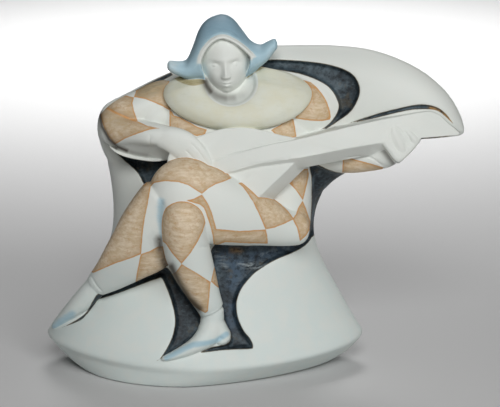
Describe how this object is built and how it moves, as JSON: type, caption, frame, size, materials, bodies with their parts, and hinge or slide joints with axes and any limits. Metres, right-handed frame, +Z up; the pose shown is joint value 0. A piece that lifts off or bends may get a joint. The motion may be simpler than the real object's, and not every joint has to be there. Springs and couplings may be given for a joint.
{
  "type": "commedia dell arte figure",
  "caption": "Slip-cast porcelain figurine of a seated harlequin playing a lute in a flared cloak with a raised wing, painted in lozenges, standing on its flat foot.",
  "frame": {"origin": "on the floor, under the middle of the piece's bounding box", "axes": "+X towards the cloak's raised wing, at the player's left hand; -Y the way the player faces; +Z up"},
  "size_m": [0.3134, 0.1352, 0.268],
  "materials": {
    "bisque": "matte unglazed white porcelain, hand painted in matte tan, blue-black, cream and pale blue"
  },
  "bodies": {
    "root": {"lute_player": "bisque"}
  },
  "joints": []
}
